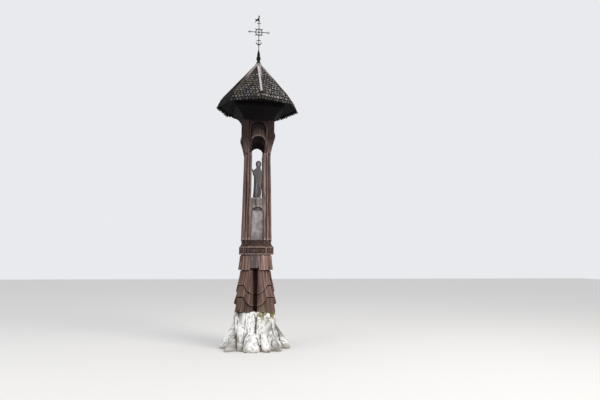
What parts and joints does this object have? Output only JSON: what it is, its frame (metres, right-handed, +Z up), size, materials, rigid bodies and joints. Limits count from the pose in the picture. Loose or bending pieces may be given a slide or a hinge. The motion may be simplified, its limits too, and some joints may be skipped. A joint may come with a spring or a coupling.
{
  "type": "wayside shrine",
  "caption": "Carved oak pillar shrine on a whitewashed root foot, with a see-through figure niche, an eight-sided shingle roof and a forged iron cross with a turning vane.",
  "frame": {"origin": "on the ground, on the pillar's upright axis, in the middle of the foot's flat underside", "axes": "+Z up, -Y towards the front with the plaque, +X to the viewer's right"},
  "size_m": [1.503, 1.503, 6.242],
  "materials": {
    "whitewashed_wood": "flaking whitewash over weathered wood",
    "trunk_oak": "weathered grey-brown oak, split along the grain",
    "column_oak": "weathered reddish-brown oak",
    "head_oak": "dark weathered oak",
    "pedestal_oak": "greyed oak",
    "roof_board": "dark weathered boards",
    "hip_board": "silver-grey boards",
    "plaque_face": "matt light grey",
    "figure_paint": "dark grey-green paint, worn",
    "forged_iron": "dark forged iron"
  },
  "bodies": {
    "shrine": {"root_foot": "whitewashed_wood", "tier_bottom": "trunk_oak", "tier_lower": "trunk_oak", "tier_upper": "trunk_oak", "tier_top": "trunk_oak", "tongue_panels": "pedestal_oak", "waist_band": "column_oak", "column_cove": "column_oak", "post_back_right": "column_oak", "post_back_left": "column_oak", "post_front_left": "column_oak", "post_front_right": "column_oak", "side_panel_right": "column_oak", "side_panel_left": "column_oak", "pedestal": "pedestal_oak", "plaque": "plaque_face", "figure_base": "figure_paint", "figure": "figure_paint", "head_block": "head_oak", "hood_front": "head_oak", "hood_back": "head_oak", "hood_right": "head_oak", "hood_left": "head_oak", "capital": "head_oak", "roof_deck": "roof_board", "eave_rail": "roof_board", "eave_boards": "roof_board", "roof_slope_1": "roof_board", "roof_slope_2": "roof_board", "roof_slope_3": "roof_board", "roof_slope_4": "roof_board", "roof_slope_5": "roof_board", "roof_slope_6": "roof_board", "roof_slope_7": "roof_board", "roof_slope_8": "roof_board", "hip_strips": "hip_board", "roof_cap": "hip_board", "finial": "head_oak", "cross_rod": "forged_iron", "cross_arms": "forged_iron", "ring_quarters": "forged_iron", "rod_crosslets": "forged_iron", "crescent": "forged_iron"},
    "vane": {"vane": "forged_iron"}
  },
  "joints": [
    {"name": "vane_turn", "type": "hinge", "parent": "shrine", "child": "vane", "pos_m": [0, 0, 6.166], "axis": [0, 0, 1], "continuous": true}
  ]
}
